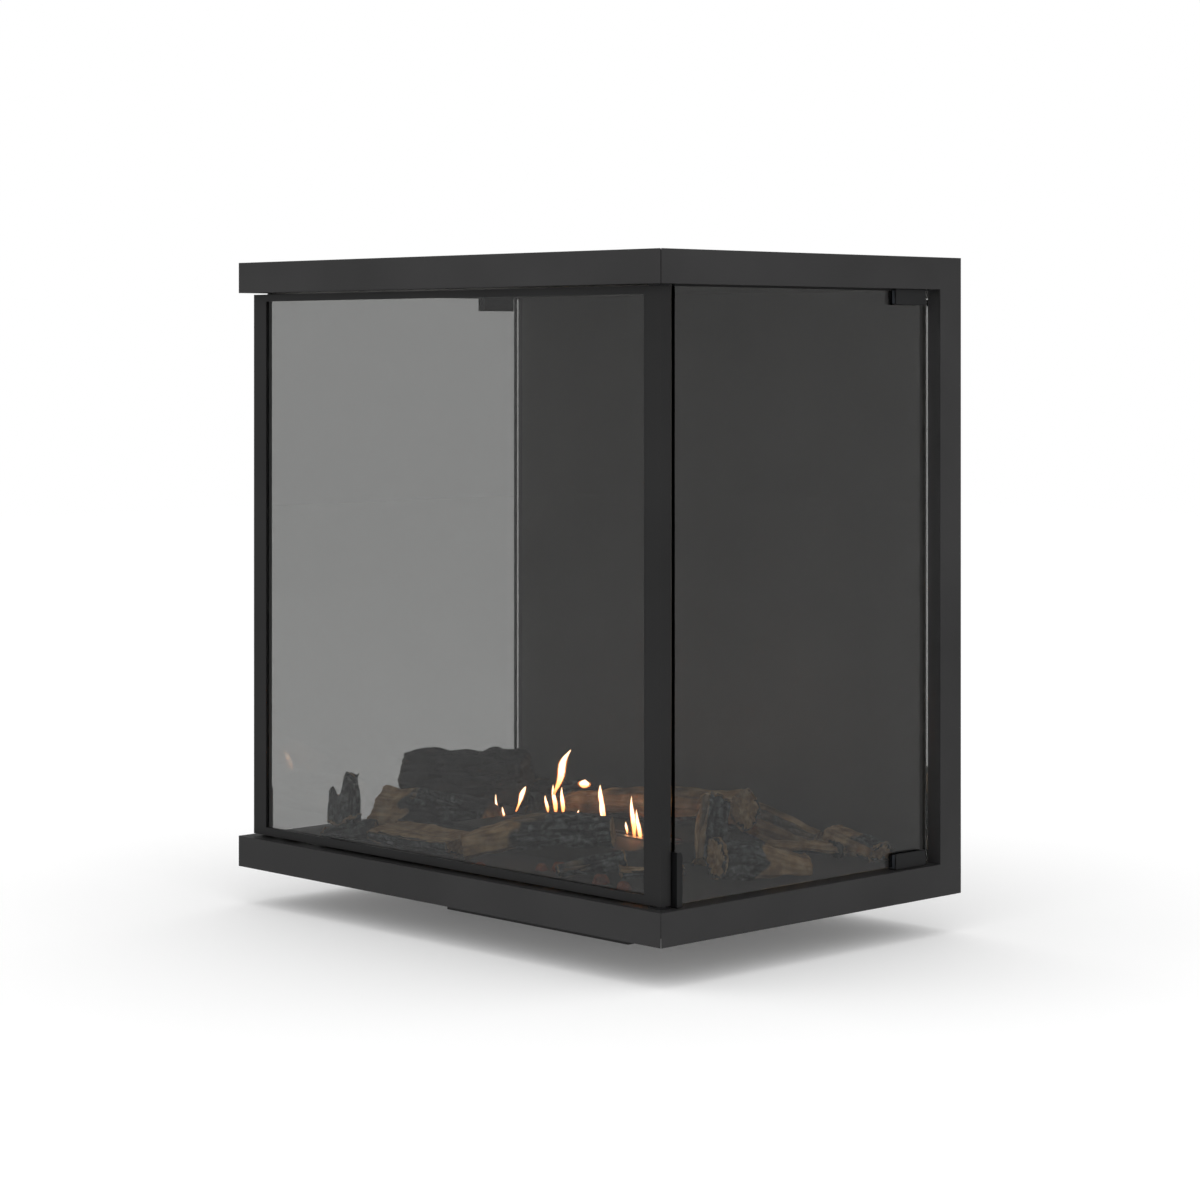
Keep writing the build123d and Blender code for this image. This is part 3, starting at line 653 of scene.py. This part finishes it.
def break_height(share):
    """How much of the full height is left at this share of the width."""
    for (low, low_height), (high, high_height) in zip(BREAK_LINE, BREAK_LINE[1:]):
        if share <= high:
            return low_height + (high_height - low_height) * (share - low) / (high - low)
    return BREAK_LINE[-1][1]


stump_points = stump.data.vertices
places_across = [point.co.dot(BREAK_ACROSS) for point in stump_points]
stump_left = min(places_across)
stump_width = max(places_across) - stump_left
stump_foot = min(point.co.z for point in stump_points)
for point, place in zip(stump_points, places_across):
    left_over = break_height((place - stump_left) / stump_width)
    point.co.z = stump_foot + (point.co.z - stump_foot) * left_over
print("stump broken over a width of", round(stump_width, 3))

# %% [markdown]
# Between the logs lie a few chips, a dull red-brown in the photograph. They are carved as
# the logs are, with smaller faces and shallower cuts, and have a paint of their own.
# %% Ember chips
EMBER_STOPS = ((0.3, (0.10, 0.045, 0.03)), (0.55, (0.42, 0.13, 0.07)), (0.75, (0.6, 0.28, 0.16)))


def burnt_chip():
    """Red-brown chips with paler specks."""
    material, tree, shader = finish("ember_paint", (0.3, 0.1, 0.06), 0.9)
    tint = ramp(tree, add_noise(tree, 130, 6), EMBER_STOPS)
    tree.links.new(tint, shader.inputs["Base Color"])
    bump(tree, shader, add_noise(tree, 500, 4), 0.4, 0.0006)
    return material


ember_paint = burnt_chip()
chips = carve("ember_chips", (1, 0.2, 0), 0.1, depth=0.35, swell=0.004, voxel=CHIP_VOXEL)
wear(chips, ember_paint)
print("chips wear", ember_paint.name)

# %% [markdown]
# A flame is nearly white in the middle and orange at its skin and its foot. The core is a
# bright light of its own. Round it lies a thin clear skin of orange light, which gives the
# coloured edge from every side.
# %% Flame light
CORE_STOPS = (
    (0.0, (0.55, 0.13, 0.03)),
    (0.3, (1.0, 0.55, 0.2)),
    (0.55, (1.0, 0.85, 0.6)),
    (1.0, (1.0, 0.8, 0.5)),
)
SKIN_STOPS = ((0.0, (0.5, 0.07, 0.01)), (0.5, (1.0, 0.30, 0.05)), (1.0, (1.0, 0.42, 0.10)))


def flame_light(name, colour, strength, stops):
    """A light whose colour follows the height in the flame."""
    material, tree, shader = finish(name, colour, 0.5)
    shader.inputs["Emission Strength"].default_value = strength
    heat = ramp(tree, read_attribute(tree, "height"), stops)
    tree.links.new(heat, shader.inputs["Emission Color"])
    return material, shader


core_light, _ = flame_light("flame_core", (1, 0.75, 0.45), 7.0, CORE_STOPS)
skin_light, skin_shader = flame_light("flame_skin", (1.0, 0.35, 0.08), 1.6, SKIN_STOPS)
skin_shader.inputs["Alpha"].default_value = 0.35
print("flame lights", core_light.name, skin_light.name)

# %% [markdown]
# Each flame starts as a small flat ring of points. It is extruded upwards step by step
# along a swaying path, widened towards its belly and narrowed towards its tip. One round of
# subdivision then takes away the corners.
# %% Shape of one flame
FLAME_SIDES = 10
FLAME_STEPS = 14
FLAME_FLATNESS = 0.55
FOOT_GIRTH = 0.35
BELLY_GIRTH = 0.9
LEAST_GIRTH = 0.04
SWAY_TURNS = 2.2
SWAY_INWARDS = 0.3
WAVE_INWARDS = 4


def tongue(name, foot, tip, width, sway, belly, light, thin):
    """One flame from foot to tip. belly is the share of its height at which it is widest,
    thin the share of the full width that this layer of the flame has."""
    foot, tip = Vector(foot), Vector(tip)
    deselect()
    bpy.ops.mesh.primitive_circle_add(
        vertices=FLAME_SIDES, radius=0.5 * width, fill_type="NGON", location=foot
    )
    flame = bpy.context.active_object
    flame.name = name
    bpy.ops.object.mode_set(mode="EDIT")
    bpy.ops.mesh.select_all(action="SELECT")
    foot_size = thin * FOOT_GIRTH
    bpy.ops.transform.resize(value=(foot_size, foot_size * FLAME_FLATNESS, 1), center_override=foot)
    here, girth = foot.copy(), FOOT_GIRTH
    power = math.log(0.5) / math.log(belly)
    for step in range(1, FLAME_STEPS + 1):
        t = step / FLAME_STEPS
        sideways = sway * math.sin(SWAY_TURNS * math.pi * t)
        inwards = SWAY_INWARDS * sway * math.sin(WAVE_INWARDS * t)
        there = foot.lerp(tip, t) + Vector((sideways, inwards, 0)) * t
        bulge = math.sin(math.pi * t**power)
        new_girth = max(FOOT_GIRTH * (1 - t) + BELLY_GIRTH * bulge, LEAST_GIRTH)
        bpy.ops.mesh.extrude_region_move(TRANSFORM_OT_translate={"value": there - here})
        change = new_girth / girth
        bpy.ops.transform.resize(value=(change, change, 1), center_override=there)
        here, girth = there, new_girth
    bpy.ops.mesh.select_all(action="SELECT")
    bpy.ops.mesh.normals_make_consistent(inside=False)
    bpy.ops.object.mode_set(mode="OBJECT")
    bpy.ops.object.transform_apply(location=True, rotation=True, scale=True)
    rounding = flame.modifiers.new("round", "SUBSURF")
    rounding.levels = rounding.render_levels = 1
    bpy.ops.object.modifier_apply(modifier=rounding.name)
    bpy.ops.object.shade_smooth()
    height = tip.z - foot.z
    keep_numbers(flame.data, "height", [(v.co.z - foot.z) / height for v in flame.data.vertices])
    wear(flame, light)
    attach(flame, "cabinet")


print("a flame has", FLAME_STEPS, "steps")

# %% [markdown]
# The flames stand in one row over the burner slot. Each row of the list is a name, the
# place of the foot and of the tip to the right and up, the width, the sway and the belly.
# Heights in the list are over the underside of the bottom band.
# %% Light the flames
BAND_UNDERSIDE = 0.049
SLOT_LINE = 0.0
CORE_WIDTH = 0.72
SKIN_WIDTH = 1.0
FLAMES = (
    ("flame_01", (-0.178, 0.060), (-0.181, 0.092), 0.0050, 0.0012, 0.45),
    ("flame_02", (-0.163, 0.060), (-0.168, 0.076), 0.0045, 0.0008, 0.50),
    ("flame_03", (-0.141, 0.072), (-0.122, 0.108), 0.0105, 0.0015, 0.72),
    ("flame_04", (-0.078, 0.078), (-0.084, 0.100), 0.0065, 0.0010, 0.45),
    ("flame_05", (-0.063, 0.078), (-0.069, 0.116), 0.0085, 0.0018, 0.40),
    ("flame_06", (-0.049, 0.078), (-0.052, 0.114), 0.0080, 0.0012, 0.45),
    ("flame_07", (-0.069, 0.100), (-0.036, 0.165), 0.0150, 0.0070, 0.62),
    ("flame_08", (-0.026, 0.072), (-0.019, 0.088), 0.0050, 0.0008, 0.50),
    ("flame_09", (-0.010, 0.117), (-0.008, 0.128), 0.0220, 0.0006, 0.50),
    ("flame_10", (0.031, 0.068), (0.020, 0.124), 0.0100, 0.0025, 0.70),
    ("flame_11", (0.027, 0.068), (0.020, 0.105), 0.0055, 0.0012, 0.50),
    ("flame_12", (0.071, 0.066), (0.068, 0.082), 0.0050, 0.0006, 0.50),
    ("flame_13", (0.084, 0.062), (0.078, 0.116), 0.0090, 0.0016, 0.45),
    ("flame_14", (0.096, 0.056), (0.087, 0.100), 0.0080, 0.0014, 0.45),
)
for name, (foot_x, foot_z), (tip_x, tip_z), width, sway, belly in FLAMES:
    foot = (foot_x, SLOT_LINE, foot_z + BAND_UNDERSIDE)
    tip = (tip_x, SLOT_LINE, tip_z + BAND_UNDERSIDE)
    tongue(name, foot, tip, width, sway, belly, core_light, CORE_WIDTH)
    tongue(name + "_skin", foot, tip, width, sway, belly, skin_light, SKIN_WIDTH)
print("flames", len(FLAMES))
